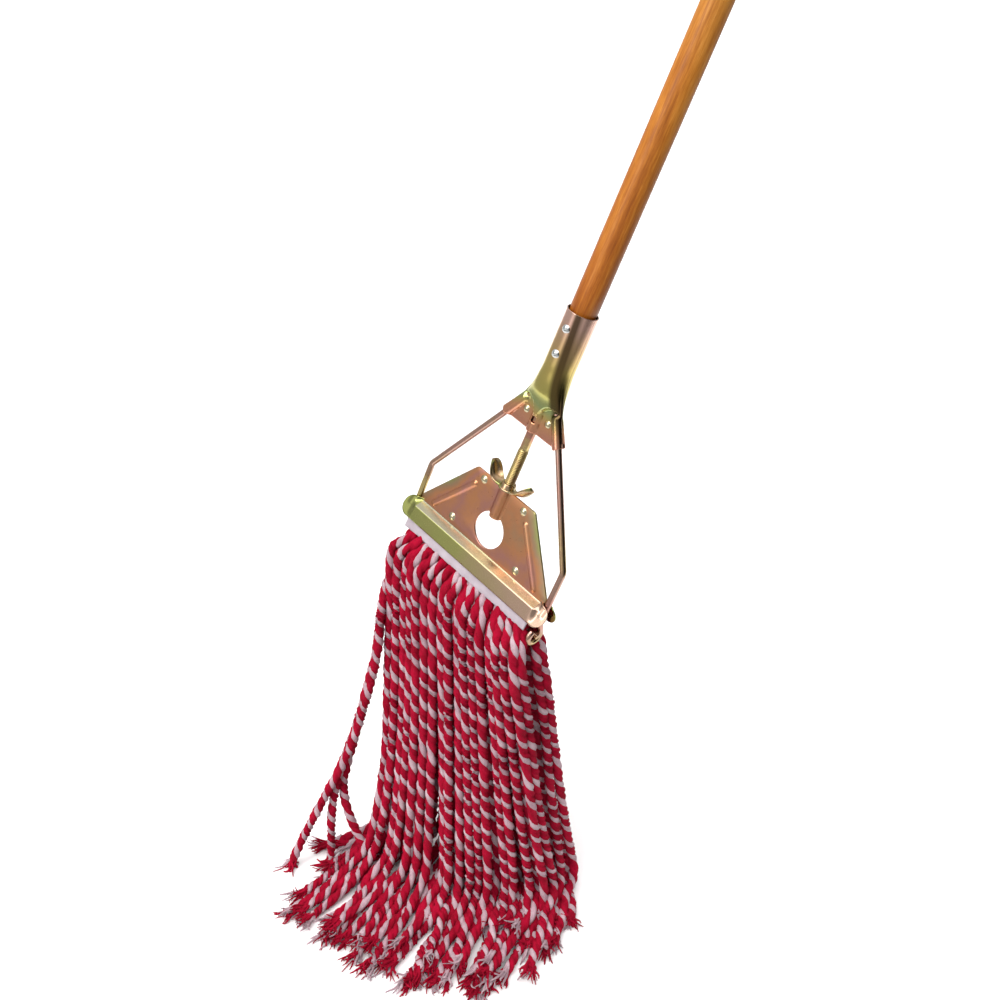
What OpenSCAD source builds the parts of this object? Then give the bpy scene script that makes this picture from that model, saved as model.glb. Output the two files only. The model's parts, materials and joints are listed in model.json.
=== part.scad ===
// String mop: a wood handle screwed into a stamped steel socket, a wire bail that carries the mop head,
// and a jaw plate that a wing nut drives down the threaded rod to clamp the folded yarn on the wire.
// Millimetres. The origin is the grip point on the handle's axis and +Z is up. Every steel piece is drawn
// in the head's own frame, with Z up the handle, X along the jaw and -Y its front, and place() leans it.

/* [Handle] */
// Handle diameter
handle_d = 23.8; // [19:0.1:32]
// Handle length, from its end inside the socket to its top
handle_len = 1200; // [600:10:1600]
// Distance from the handle's top down to the grip point
grip_down = 150; // [80:10:400]
// How far the handle leans from upright, in degrees
lean = 20.6; // [0:0.1:45]
// How far the head is turned about the handle, in degrees
head_turn = 44.3; // [0:0.1:90]

/* [Socket] */
// Height of the socket's rim above the jaw
socket_top = 241; // [200:1:280]
// Height of the socket's lower edge above the jaw
socket_foot = 127; // [110:1:140]
// Half width of the socket's lower edge
socket_half = 38; // [30:0.5:50]
// Thickness of the socket's steel
socket_t = 1.2; // [0.8:0.1:2]

/* [Jaw plate] */
// Height of the jaw plate's upper edge
plate_top = 66.3; // [50:0.1:80]
// Half width of the jaw plate's upper edge
plate_top_half = 37.1; // [25:0.1:50]
// Half length of the jaw
jaw_half = 79; // [60:0.5:110]
// Thickness of the jaw plate's steel
plate_t = 1.1; // [0.8:0.1:2]
// Diameter of the window in the jaw plate
window_d = 35; // [20:0.5:40]
// Depth of the jaw's lips
lip_depth = 18; // [12:0.5:24]

/* [Rod and nut] */
// Threaded rod diameter over its thread
rod_d = 9.53; // [6:0.01:12]
// Lower end of the rod
rod_foot = 40; // [30:0.5:45]
// Half span of the wing nut
wing_half = 25; // [18:0.5:30]

/* [Bail] */
// Wire diameter
wire_d = 6; // [3:0.1:8]
// Distance of each wire's leg from the handle's axis
leg_x = 86.5; // [70:0.5:110]
// Distance of the cross wire below the jaw
cross_drop = 30; // [26:0.5:36]

/* [Mop head] */
// Half length of the headband
band_half = 81; // [60:0.5:100]
// Half thickness of the headband
band_half_t = 10.2; // [8:0.1:12]
// Height from the jaw down to the tips of the yarn
yarn_drop = 395; // [300:5:450]

/* [Hidden] */
$fn = 48;
gap = 0.02;
grip_z = 190 + handle_len - grip_down;
handle_r = handle_d / 2;
rod_r = rod_d / 2;
// a rolled thread stands proud of its shank, which has the thread's mean diameter
shank_r = 0.892 * rod_r;
thread_top = 109;
wire_r = wire_d / 2;
socket_r = handle_r + 0.15 + socket_t;
handle_foot = 190;
// the handle is turned down a little up to just above the rim
bare_from = socket_top + 3 - handle_foot;
flat_z = 150;
window_z = 22;
screw_z = [226, 203];
socket_rivet = [13, 141.5];
plate_rivets_at = [[25.5, 59.8], [-25.5, 59.8], [42.5, 7.7], [-42.5, 7.7]];
leg_bend = [leg_x, 37];
plate_end = leg_x - wire_r - 0.3;
wire_root = [16.4, 153.66];
latch_deg = 3.2;

wood = [0.76, 0.44, 0.18];
zinc = [0.72, 0.64, 0.38];
bright = [0.78, 0.78, 0.76];
brass = [0.72, 0.58, 0.30];
red = [0.72, 0.05, 0.18];
white = [0.92, 0.88, 0.90];

// Places the head's frame in the row frame
module place() {
    rotate([0, lean, 0])
        rotate([0, 0, -head_turn])
            translate([0, 0, -grip_z])
                children();
}

// Head frame to row frame, for one point
function turned(p) = [
    p[0] * cos(head_turn) + p[1] * sin(head_turn),
    -p[0] * sin(head_turn) + p[1] * cos(head_turn),
    p[2] - grip_z];
function placed(p) = let (q = turned(p)) [
    q[0] * cos(lean) + q[2] * sin(lean),
    q[1],
    -q[0] * sin(lean) + q[2] * cos(lean)];

function mix(a, b, k) = a * (1 - k) + b * k;
function clamp01(x) = min(1, max(0, x));
function smooth(x) = let (k = clamp01(x)) k * k * (3 - 2 * k);
function unit(v) = v / norm(v);

// Closed solid through equal rings of points, the first ring at the bottom; each ring has an even count
module loft(rings) {
    n = len(rings[0]);
    m = len(rings);
    points = [for (r = rings) for (p = r) p];
    sides = [for (j = [0:m - 2]) for (i = [0:n - 1])
        let (a = j * n + i, b = j * n + (i + 1) % n)
        each [[a, a + n, b + n], [a, b + n, b]]];
    caps = [for (i = [0:n / 2 - 2])
        let (a = i, b = i + 1, c = n - 2 - i, d = n - 1 - i, t = (m - 1) * n)
        each [[a, b, c], [a, c, d], [t + a, t + c, t + b], [t + a, t + d, t + c]]];
    polyhedron(points = points, faces = concat(sides, caps), convexity = 8);
}

// Round wire swept through points; side is a direction that no stretch of it follows
module wire(path, r, side) {
    last = len(path) - 1;
    rings = [for (i = [0:last])
        let (
            along = unit(path[min(i + 1, last)] - path[max(i - 1, 0)]),
            right = unit(cross(side, along)),
            front = cross(along, right))
        [for (k = [0:11]) path[i] + r * (cos(k * 30) * right + sin(k * 30) * front)]];
    loft(rings);
}

// The socket's half width, depth and squareness at a height
function flare(z) = clamp01((192 - z) / (192 - socket_foot));
function socket_w(z) = mix(socket_r, socket_half, pow(flare(z), 2));
function socket_d(z) = mix(socket_t, socket_r, smooth((z - flat_z) / (192 - flat_z)));
function socket_e(z) = mix(0.5, 1, smooth((z - flat_z) / (192 - flat_z)));

// Half section from the right edge round the front to the left edge
function socket_curve(z, w, d, e) =
    [for (a = [0:15:180])
        let (c = cos(a), s = sin(a))
        [w * sign(c) * pow(abs(c), e), -gap - d * pow(s, e), z]];
function socket_ring(z) =
    let (w = socket_w(z), d = socket_d(z), e = socket_e(z))
    concat(
        socket_curve(z, w, d, e),
        socket_curve(z, socket_t - w, max(0, d - socket_t), e));

// A wire's path inside the socket, from its root down, turned outwards by some degrees
module along_wire(m, turned_out) {
    translate([m * wire_root[0], 0, wire_root[1]])
        rotate([0, m * (149.03 - turned_out), 0])
            children();
}

// One half of the socket with its outside towards -Y; both wire channels widen for the sprung wire
module socket_half_shell() {
    pocket_r = wire_r + 0.08;
    // a size of 0 keeps the shape as it is, and makes the pressed sheet one mesh
    resize([0, 0, 0]) difference() {
        union() {
            loft([for (z = [241, 192, 186, 180, 174, 168, 162, 156, 150, 142, 134, 127]) socket_ring(z)]);
            difference() {
                union() {
                    translate([0, 0, socket_foot - 0.4])
                        cylinder(r = shank_r + gap + socket_t, h = 38, $fn = 32);
                    for (m = [-1, 1])
                        along_wire(m, latch_deg / 2)
                            translate([0, 0, -1.9])
                                cylinder(
                                    r1 = pocket_r + socket_t, r2 = pocket_r + socket_t + 0.9,
                                    h = 31, $fn = 24);
                }
                translate([-60, -gap - 0.03, socket_foot - 20])
                    cube([120, 40, 200]);
            }
        }
        translate([0, 0, socket_foot - 1])
            cylinder(r = shank_r + 0.06, h = 48, $fn = 32);
        // the channels end square to the wires
        for (m = [-1, 1])
            along_wire(m, 0)
                translate([-20, -20, 30.4])
                    cube([40, 40, 20]);
        for (m = [-1, 1])
            along_wire(m, latch_deg / 2)
                translate([0, 0, -0.5])
                    cylinder(r1 = pocket_r, r2 = pocket_r + 1.2, h = 41, $fn = 24);
        for (m = [-1, 1])
            translate([m * socket_rivet[0], 2, socket_rivet[1]])
                rotate([90, 0, 0])
                    cylinder(r = 2.45, h = 12, $fn = 24);
    }
}

module socket_front_shell() {
    color(zinc) place() difference() {
        socket_half_shell();
        for (z = screw_z)
            translate([0, 0, z])
                rotate([90, 0, 0])
                    cylinder(r = 2.3, h = 20);
        // slot over the rod
        translate([-1.6, -20, socket_rivet[1] - 5.6])
            cube([3.2, 19, 6.2]);
    }
}

module socket_back_shell() {
    color(zinc) place() rotate([0, 0, 180]) mirror([1, 0, 0]) socket_half_shell();
}

module rivet(y_front, y_back, r_head, r_shank, h_head) {
    // domed heads on both faces of a stack that runs from y_front to y_back
    rotate([90, 0, 0]) {
        translate([0, 0, -y_back])
            cylinder(r = r_shank, h = y_back - y_front);
        translate([0, 0, -y_front])
            dome(r_head, h_head);
        translate([0, 0, -y_back])
            mirror([0, 0, 1]) dome(r_head, h_head);
    }
}

module dome(r, h) {
    ball = (r * r + h * h) / (2 * h);
    rotate_extrude()
        polygon(concat([[0, 0]], [for (k = [0:8]) let (a = k * asin(r / ball) / 8)
            [ball * sin(asin(r / ball) - a), h - ball + ball * cos(asin(r / ball) - a)]]));
}

module socket_rivets() {
    face = socket_t + 2 * gap;
    color(zinc) place()
        for (m = [-1, 1])
            translate([m * socket_rivet[0], 0, socket_rivet[1]])
                rivet(-face, face, 4, 2.4, 2);
}

module handle_screws() {
    color(bright) place()
        for (z = screw_z)
            translate([0, -socket_r - 0.05, z])
                rotate([90, 0, 0]) screw();
}

// Pan-head screw with a cross recess; its head points up and its seat is at 0
module screw() {
    difference() {
        union() {
            dome(4, 2.6);
            translate([0, 0, -14])
                cylinder(r = 2.1, h = 14.1);
        }
        for (a = [0, 90])
            rotate([0, 0, a + 45])
                translate([-2.1, -0.45, 1.1])
                    cube([4.2, 0.9, 3]);
    }
}

module handle() {
    color(wood) place() difference() {
        translate([0, 0, handle_foot])
            rotate_extrude($fn = 64)
                polygon(concat(
                    [[0, 0], [handle_r - 1.7, 0], [handle_r - 0.2, 2], [handle_r - 0.2, bare_from - 0.5],
                        [handle_r, bare_from]],
                    [for (k = [0:8]) let (a = k * 90 / 8)
                        [handle_r * cos(a), handle_len - 9 + 9 * sin(a)]]));
        for (z = screw_z)
            translate([0, -handle_r - 1, z])
                rotate([-90, 0, 0])
                    cylinder(r = 2.12, h = 15);
    }
}

module threaded_rod() {
    color(zinc) place() {
        translate([0, 0, rod_foot])
            cylinder(r1 = rod_r - 0.8, r2 = rod_r, h = 1);
        translate([0, 0, rod_foot + 1])
            cylinder(r = rod_r, h = thread_top - rod_foot - 1);
        translate([0, 0, thread_top])
            cylinder(r1 = rod_r, r2 = shank_r, h = 1);
        translate([0, 0, thread_top + 1])
            cylinder(r = shank_r, h = handle_foot - 0.1 - thread_top - 1);
        // upset collar that keeps the rod from being pulled down out of the socket
        translate([0, 0, 171])
            cylinder(r = 5.5, h = 6);
    }
}

// Rounded corner between two straight stretches, in the plane of the bail
function corner(a, b, c, r, steps) =
    let (
        u = unit(a - b),
        v = unit(c - b),
        half = acos(u * v) / 2,
        reach = r / tan(half),
        centre = b + unit(u + v) * r / sin(half))
    [for (i = [0:steps])
        let (
            p0 = b + u * reach - centre,
            p1 = b + v * reach - centre,
            full = acos((p0 * p1) / (norm(p0) * norm(p1))),
            k = i / steps)
        centre + (sin((1 - k) * full) * p0 + sin(k * full) * p1) / sin(full)];

function bail_top(m) = concat(
    [[m * wire_root[0], 0, wire_root[1]]],
    corner(
        [m * wire_root[0], 0, wire_root[1]],
        [m * leg_bend[0], 0, leg_bend[1]],
        [m * leg_bend[0], 0, 0], 10, 4));

module left_bail_wire() {
    path = concat(
        bail_top(-1),
        corner([-leg_x, 0, 20], [-leg_x, 0, -cross_drop], [0, 0, -cross_drop], 6, 6),
        [[leg_x + 3.4, 0, -cross_drop], [leg_x + 4.5, 0, -cross_drop]]);
    color(brass) place() wire(path, wire_r, [0, 1, 0]);
}

// The right leg ends in an eye that the cross wire's tip goes through
module right_bail_wire() {
    eye_r = 2 * wire_r + 1.64;
    eye_z = -cross_drop - 1.5;
    path = concat(
        bail_top(1),
        [[leg_x, 0, -9], [leg_x, 0.1, -13], [leg_x, 0.9, -18]],
        [for (k = [0:14]) let (a = 46 - k * 19.2)
            [leg_x, eye_r * cos(a), eye_z + eye_r * sin(a)]]);
    color(brass) place() wire(path, wire_r, [1, 0, 0]);
}

// Pressed nut: a collared washer whose two broad wings curl up and outwards
module wing_nut() {
    foot = plate_top + 0.05;
    color(brass) place() translate([0, 0, foot]) difference() {
        union() {
            cylinder(r = 8.3, h = 1.9);
            translate([0, 0, 1.9])
                cylinder(r1 = 7.1, r2 = 6.4, h = 4.6);
            for (m = [0, 180])
                rotate([0, 0, m])
                    wing();
        }
        translate([0, 0, -1])
            cylinder(r = rod_r + 0.05, h = 12);
    }
}

// A wing's middle line rises away from the rod; its sheet is cupped, and twists back towards its end
function wing_rise(x) = 1 + 16.2 * pow(clamp01((x - 6) / (wing_half - 6)), 2.1);
function wing_tilt(x) = 34.02 / (wing_half - 6) * pow(clamp01((x - 6) / (wing_half - 6)), 1.1);
function wing_width(x) = x > wing_half - 6.4
    ? sqrt(max(0.4, 38.4 - pow(x - wing_half + 6.4, 2)))
    : 5 + 1.2 * smooth((x - 4.6) / 14);
function wing_point(x, u, face) =
    let (
        k = (x - 4.6) / 20,
        slope = wing_tilt(x),
        cup = 2.8 * (1 - u * u) * smooth((k - 0.15) * 1.8),
        off = face * 0.9 * (abs(u) > 0.97 ? 0.5 : 1) - cup,
        twist = 0.52 * smooth((k - 0.1) * 1.6),
        y = u * wing_width(x))
    [x - 0.75 - off * slope / norm([slope, 1]), y, max(0.1, wing_rise(x) + off / norm([slope, 1]) - twist * y)];

module wing() {
    us = [-1, -0.6, -0.2, 0.2, 0.6, 1];
    loft([for (i = [14:-1:0])
        let (x = mix(4.6, wing_half - 0.4, i / 14))
        concat(
            [for (u = us) wing_point(x, u, 1)],
            [for (j = [5:-1:0]) wing_point(x, us[j], -1)])]);
}

// The lips' distance from the middle plane, at a place along the jaw and a depth below its upper edge
function jaw_end(x) = smooth((abs(x) - jaw_half) / 6);
function jaw_mid(z) = z > 0 ? 0 : z > -4.5 ? -2 * z : 9 - (z + 4.5) * 2 / 13.5;
function jaw_ear(z) = wire_r + 0.17 + 0.45 * max(0, -z);
function jaw_off(x, z) = mix(jaw_mid(z), jaw_ear(z), jaw_end(x));
function ear(x) = sqrt(max(0, 94.1 - pow(max(0, abs(x) - 85), 2)));
function jaw_top(x) = abs(x) < 85 ? 2 : ear(x) - 8.1;
function jaw_foot(x) = abs(x) < 85 ? -lip_depth : -ear(x) - 8.3;
function jaw_at(x, k) =
    let (z = mix(jaw_top(x), jaw_foot(x), k))
    [x, -gap - 0.04 - jaw_off(x, z), z];
// the same place on the outer face, a sheet's thickness away
function jaw_out(x, k) =
    let (
        p = jaw_at(x, k),
        q = jaw_at(x, max(0, k - 0.04)),
        s = jaw_at(x, min(1, k + 0.04)),
        along = unit(s - q))
    p + (plate_t - 0.08) * [0, along[2], -along[1]];

module jaw() {
    cols = [-94.5, -93, -90.5, -87.5, -85, -83, -81, -79, -40, 0,
        40, 79, 81, 83, 85, 87.5, 90.5, 93, 94.5];
    rows = [0, 0.05, 0.1, 0.17, 0.25, 0.325, 0.36, 0.5, 0.75, 1];
    loft([for (x = [for (i = [len(cols) - 1:-1:0]) cols[i]]) concat(
        [for (k = rows) jaw_at(x, k)],
        [for (i = [len(rows) - 1:-1:0]) jaw_out(x, rows[i])])]);
}

module plate_outline() {
    difference() {
        offset(r = 3, $fn = 32) offset(delta = -3)
            polygon([[-plate_top_half, plate_top], [plate_top_half, plate_top],
                [plate_end, 5.7], [plate_end, -4], [-plate_end, -4], [-plate_end, 5.7]]);
        translate([-100, -4.5])
            square([200, 5]);
        translate([0, window_z])
            circle(d = window_d, $fn = 64);
        for (p = plate_rivets_at)
            translate(p)
                circle(r = 1.77, $fn = 24);
    }
}

// One sheet of the jaw plate with its outside towards -Y
module clamp_sheet() {
    difference() {
        union() {
            translate([0, -gap, 0])
                rotate([90, 0, 0])
                    linear_extrude(plate_t)
                        plate_outline();
            jaw();
            // pressed ribs along the slanted edges
            for (m = [-1, 1])
                translate([m * 33, -plate_t + 1.9, 50.6])
                    rotate([0, m * 142.85, 0]) {
                        cylinder(r = 3.4, h = 56.3, $fn = 32);
                        sphere(r = 3.4, $fn = 32);
                        translate([0, 0, 56.3])
                            sphere(r = 3.4, $fn = 32);
                    }
            // half pipe around the rod
            translate([0, 0, 36.5])
                cylinder(r = rod_r + 0.06 + plate_t, h = plate_top - 36.5);
        }
        translate([-100, -gap, 0])
            cube([200, 20, 80]);
        translate([0, 0, 30])
            cylinder(r = rod_r + 0.06, h = 50);
    }
}

module clamp_plate_front() {
    color(zinc) place() clamp_sheet();
}

module clamp_plate_back() {
    color(zinc) place() rotate([0, 0, 180]) clamp_sheet();
}

module plate_rivets() {
    face = plate_t + 2 * gap;
    color(bright) place()
        for (p = plate_rivets_at)
            translate([p[0], 0, p[1]])
                rivet(-face, face, 3.75, 1.75, 1.7);
}

// Arch of the folded head: half width r, crown at the top and straight sides down to z1
module arch(r, z1) {
    translate([0, -16.5])
        circle(r = r);
    translate([-r, z1])
        square([2 * r, -16.5 - z1]);
}

module headband() {
    color(white) place()
        translate([-band_half, 0, 0])
            rotate([90, 0, 90])
                linear_extrude(2 * band_half) difference() {
                    arch(band_half_t, -26.5);
                    arch(band_half_t - 1.3, -40);
                }
}

module yarn_fold() {
    color(red) place()
        translate([-band_half + 0.5, 0, 0])
            rotate([90, 0, 90])
                linear_extrude(2 * band_half - 1)
                    arch(band_half_t - 1.5, -cross_drop + wire_r + 0.2);
}

// Where the yarn's tips lie around the jaw's middle, seen from above; s runs from the left end to the right
function curve3(a, b, c, k) = a * (1 - k) * (1 - k) + 2 * b * k * (1 - k) + c * k * k;
function tip_front(k) = curve3([-226, -31], [-80, -268], [96, -72], k);
function tip_back(k) = curve3([-196, 66], [-20, 92], [108, -6], k);
function tip(k, depth) = mix(tip_front(k), tip_back(k), depth);

// A point of the hanging yarn: k along the head, depth from its front to its back, fall from the band down
function yarn_at(k, depth, fall) =
    let (
        top = placed([mix(-band_half, band_half, k), mix(-8.7, 8.7, depth), -27.8]),
        jaw_middle = placed([0, 0, 0]),
        end = tip(k, depth),
        drop = mix(top[2], jaw_middle[2] - yarn_drop, fall),
        spread = 0.30 * fall + 0.70 * pow(fall, 3))
    [mix(top[0], jaw_middle[0] + end[0], spread), mix(top[1], jaw_middle[1] + end[1], spread), drop];

// A closed bundle between two places along the head, on one side of the cross wire
module yarn_bundle(k0, k1, in_front) {
    falls = [0, 0.12, 0.28, 0.45, 0.62, 0.76, 0.88, 1];
    ks = [for (i = [0:4]) mix(k0, k1, i / 4)];
    loft([for (i = [len(falls) - 1:-1:0])
        let (
            f = falls[i],
            open = smooth(3 * f),
            d0 = in_front ? 0 : mix(0.74, 0.54, open),
            d1 = in_front ? mix(0.22, 0.46, open) : 1)
        concat(
            [for (k = ks) yarn_at(k, d0, f)],
            [for (j = [4:-1:0]) yarn_at(ks[j], d1, f)])]);
}

module yarn_front_left() {
    color(red) yarn_bundle(0.012, 0.33, true);
}

module yarn_front_middle() {
    color(red) yarn_bundle(0.34, 0.66, true);
}

module yarn_front_right() {
    color(red) yarn_bundle(0.67, 0.988, true);
}

module yarn_back_left() {
    color(red) yarn_bundle(0.012, 0.33, false);
}

module yarn_back_middle() {
    color(red) yarn_bundle(0.34, 0.66, false);
}

module yarn_back_right() {
    color(red) yarn_bundle(0.67, 0.988, false);
}

handle();
socket_front_shell();
socket_back_shell();
socket_rivets();
handle_screws();
threaded_rod();
left_bail_wire();
right_bail_wire();
wing_nut();
clamp_plate_front();
clamp_plate_back();
plate_rivets();
headband();
yarn_fold();
yarn_front_left();
yarn_front_middle();
yarn_front_right();
yarn_back_left();
yarn_back_middle();
yarn_back_right();
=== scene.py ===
"""String mop. The row frame has its origin at the grip, +Z up, and metres; head points are millimetres."""
import json
import math
import random

import bpy
import numpy as np
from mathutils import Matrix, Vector


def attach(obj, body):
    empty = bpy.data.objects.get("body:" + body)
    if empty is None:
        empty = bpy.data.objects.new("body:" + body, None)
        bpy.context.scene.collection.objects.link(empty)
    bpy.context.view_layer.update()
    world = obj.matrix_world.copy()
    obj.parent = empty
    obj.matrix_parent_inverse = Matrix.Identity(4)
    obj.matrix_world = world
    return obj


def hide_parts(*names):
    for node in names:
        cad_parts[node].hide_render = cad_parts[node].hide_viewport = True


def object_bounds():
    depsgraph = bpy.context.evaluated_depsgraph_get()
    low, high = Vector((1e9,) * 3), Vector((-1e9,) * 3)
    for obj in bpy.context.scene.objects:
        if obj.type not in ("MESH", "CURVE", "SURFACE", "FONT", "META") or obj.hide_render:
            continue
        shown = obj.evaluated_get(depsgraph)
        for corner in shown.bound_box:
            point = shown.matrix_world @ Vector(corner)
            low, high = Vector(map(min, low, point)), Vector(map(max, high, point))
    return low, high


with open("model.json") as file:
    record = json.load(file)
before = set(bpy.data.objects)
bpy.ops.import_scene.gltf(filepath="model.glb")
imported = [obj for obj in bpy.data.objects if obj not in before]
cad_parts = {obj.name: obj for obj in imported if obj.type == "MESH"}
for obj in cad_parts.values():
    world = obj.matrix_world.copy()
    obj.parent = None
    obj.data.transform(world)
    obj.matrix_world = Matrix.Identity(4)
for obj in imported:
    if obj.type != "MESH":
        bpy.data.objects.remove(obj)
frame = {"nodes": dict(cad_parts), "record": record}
cad_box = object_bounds()
record = frame["record"]
joints = {j["name"]: j for j in record["behaviour"]["joints"]}
RNG = np.random.default_rng(7)
random.seed(7)

# ---------------------------------------------------------------- the head's own frame
UP = np.array(joints["jaw_slide"]["axis"], float)
UP /= np.linalg.norm(UP)
BACK = -np.array(joints["latch_spring"]["axis"], float)
BACK /= np.linalg.norm(BACK)
ALONG = np.cross(BACK, UP)
NUT_ABOVE_JAW = 0.071
JAW = np.array(joints["nut_spin"]["pos_m"], float) - NUT_ABOVE_JAW * UP


def head(x, y, z):
    """A point given in the head's frame, in millimetres, as a row point in metres."""
    return JAW + (x * ALONG + y * BACK + z * UP) / 1000


# ---------------------------------------------------------------- camera
ELEVATION = math.radians(29.1)
cam_data = bpy.data.cameras.new("camera")
cam_data.lens = 45
cam_data.sensor_width = 36
cam_data.clip_end = 50
camera = bpy.data.objects.new("camera", cam_data)
bpy.context.scene.collection.objects.link(camera)
camera.location = Vector(JAW) + Vector((0.0172, -0.9604, 0.5857))
camera.rotation_euler = (math.pi / 2 - ELEVATION, 0, 0)
bpy.context.scene.camera = camera


# ---------------------------------------------------------------- node material helpers
class Nodes:
    """A small builder for a principled material."""

    def __init__(self, name):
        self.mat = bpy.data.materials.new(name)
        self.mat.use_nodes = True
        self.tree = self.mat.node_tree
        self.bsdf = self.tree.nodes["Principled BSDF"]

    def add(self, kind, links=(), ins=None, **props):
        n = self.tree.nodes.new(kind)
        for k, v in props.items():
            setattr(n, k, v)
        for name, value in (ins or {}).items():
            n.inputs[name].default_value = value
        for source, target in links:
            self.tree.links.new(source, n.inputs[target])
        return n

    def ramp(self, source, stops):
        n = self.add("ShaderNodeValToRGB", [(source, 0)])
        el = n.color_ramp.elements
        while len(el) < len(stops):
            el.new(0.5)
        for e, (at, c) in zip(el, stops):
            e.position = at
            e.color = (*c, 1)
        return n.outputs["Color"]

    def noise(self, vector, scale, detail=3, rough=0.5):
        n = self.add("ShaderNodeTexNoise", [(vector, "Vector")],
                     ins={"Scale": scale, "Detail": detail, "Roughness": rough})
        return n.outputs["Fac"]

    def scaled(self, vector, x, y, z):
        n = self.add("ShaderNodeMapping", [(vector, "Vector")])
        n.inputs["Scale"].default_value = (x, y, z)
        return n.outputs["Vector"]

    def math(self, op, a, b=None, clamp=False):
        n = self.add("ShaderNodeMath", operation=op, use_clamp=clamp)
        for i, v in enumerate((a, b)):
            if v is None:
                continue
            if isinstance(v, (int, float)):
                n.inputs[i].default_value = v
            else:
                self.tree.links.new(v, n.inputs[i])
        return n.outputs[0]

    def mul(self, a, b, clamp=False):
        return self.math("MULTIPLY", a, b, clamp)

    def plus(self, a, b):
        return self.math("ADD", a, b)

    def minus(self, a, b):
        return self.math("SUBTRACT", a, b)

    def parts(self, vector):
        return self.add("ShaderNodeSeparateXYZ", [(vector, "Vector")]).outputs

    def mix(self, fac, a, b, mode="MIX"):
        n = self.add("ShaderNodeMix", data_type="RGBA", blend_type=mode)
        for name, v in ((0, fac), (6, a), (7, b)):
            if isinstance(v, (int, float)):
                n.inputs[name].default_value = v
            elif isinstance(v, tuple):
                n.inputs[name].default_value = (*v, 1)
            else:
                self.tree.links.new(v, n.inputs[name])
        return n.outputs[2]

    def bump(self, height, strength, distance):
        n = self.add("ShaderNodeBump", [(height, "Height")])
        n.inputs["Strength"].default_value = strength
        n.inputs["Distance"].default_value = distance
        return n.outputs["Normal"]

    def put(self, **values):
        for name, v in values.items():
            name = name.replace("_", " ")
            if isinstance(v, (int, float, tuple)):
                self.bsdf.inputs[name].default_value = v
            else:
                self.tree.links.new(v, self.bsdf.inputs[name])

    def object_coords(self):
        return self.add("ShaderNodeTexCoord").outputs["Object"]

    def uv(self):
        return self.add("ShaderNodeTexCoord").outputs["UV"]


def zinc_material(name, stops, rough=(0.22, 0.4), scale=9.0, brushed=0.25, zone=None):
    """Yellow zinc plate: a thin film whose colour drifts over the sheet, and from one zone to another."""
    n = Nodes(name)
    p = n.object_coords()
    drift = n.noise(p, scale, 2, 0.4)
    fine = n.noise(p, scale * 9, 4, 0.6)
    blend = n.plus(n.mul(drift, 0.85), n.mul(fine, 0.15))
    if zone:
        blend = n.plus(n.mul(blend, 0.5), zone(n))
    colour = n.ramp(blend, stops)
    grain = n.noise(n.scaled(p, 900, 60, 60), 1.0, 2, 0.5)
    spots = n.noise(p, 260, 3, 0.7)
    r = n.plus(rough[0], n.mul(spots, rough[1] - rough[0]))
    height = n.plus(n.mul(grain, brushed), n.mul(fine, 0.3))
    n.put(Base_Color=colour, Metallic=1.0, Roughness=r, Normal=n.bump(height, 0.08, 0.0003))
    return n.mat


GOLD, OLIVE = (0.60, 0.47, 0.20), (0.33, 0.34, 0.13)
PINK, PLUM, BROWN = (0.58, 0.26, 0.125), (0.50, 0.23, 0.18), (0.42, 0.27, 0.16)


def along_jaw(n):
    """Olive at the jaw's left end and pinkish brown at its right end."""
    sep = n.parts(n.uv())
    return n.plus(n.mul(sep["X"], 0.20), 0.24)


def over_plate(n):
    """Pink and plum in the middle of the plate, olive towards its slanted edges."""
    sep = n.parts(n.uv())
    side = n.math("ABSOLUTE", sep["X"])
    edge = n.plus(n.mul(side, 1.0), n.mul(sep["Y"], 0.77))
    rim = n.mul(n.minus(edge, 0.76), 6.0, clamp=True)
    return n.minus(0.27, n.mul(rim, 0.20))


def socket_material():
    """Pink on the flat foot, olive and gold up the neck, pink at the rim, and a painted dark reflection: a
    streak up the side and a darker side beyond it.
    """
    n = Nodes("zinc_socket")
    p = n.object_coords()
    drift = n.noise(p, 30, 2, 0.4)
    fine = n.noise(p, 200, 3, 0.6)
    sep = n.parts(n.uv())
    across = sep["X"]
    up = n.mul(n.minus(sep["Y"], 1.27), 0.877)
    wander = n.mul(n.minus(drift, 0.5), 0.22)
    film = n.ramp(n.plus(up, wander), [
        (0.02, (0.62, 0.28, 0.19)), (0.11, (0.66, 0.33, 0.17)), (0.17, (0.56, 0.42, 0.15)),
        (0.23, (0.38, 0.44, 0.19)), (0.34, (0.50, 0.44, 0.13)), (0.58, (0.60, 0.46, 0.15)),
        (0.76, (0.62, 0.41, 0.22)), (0.92, (0.72, 0.46, 0.37))])
    # painted reflection: a dark band up the neck beside the middle line, and a darker side beyond it, stand
    # in for dark surroundings mirrored in the metal
    middle = n.minus(0.90, n.mul(up, 0.49))
    away = n.minus(across, middle)
    low = n.mul(n.minus(up, 0.10), 9.0, clamp=True)
    painted_dark_side = n.mul(n.mul(away, 6.0, clamp=True),
                    n.mul(n.minus(0.46, up), 6.0, clamp=True))
    film = n.mix(n.mul(painted_dark_side, 0.9), film, (0.20, 0.105, 0.060))
    # painted dark reflection: the streak up the neck, kept off the foot flats
    streak = n.mul(n.minus(0.33, n.math("ABSOLUTE", away)), 4.8, clamp=True)
    streak = n.mul(n.mul(streak, low), 0.88)
    colour = n.mix(streak, film, (0.085, 0.050, 0.020))
    n.put(Base_Color=colour, Metallic=1.0, Roughness=n.plus(0.14, n.mul(fine, 0.1)),
          Normal=n.bump(fine, 0.05, 0.0003))
    return n.mat


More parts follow.
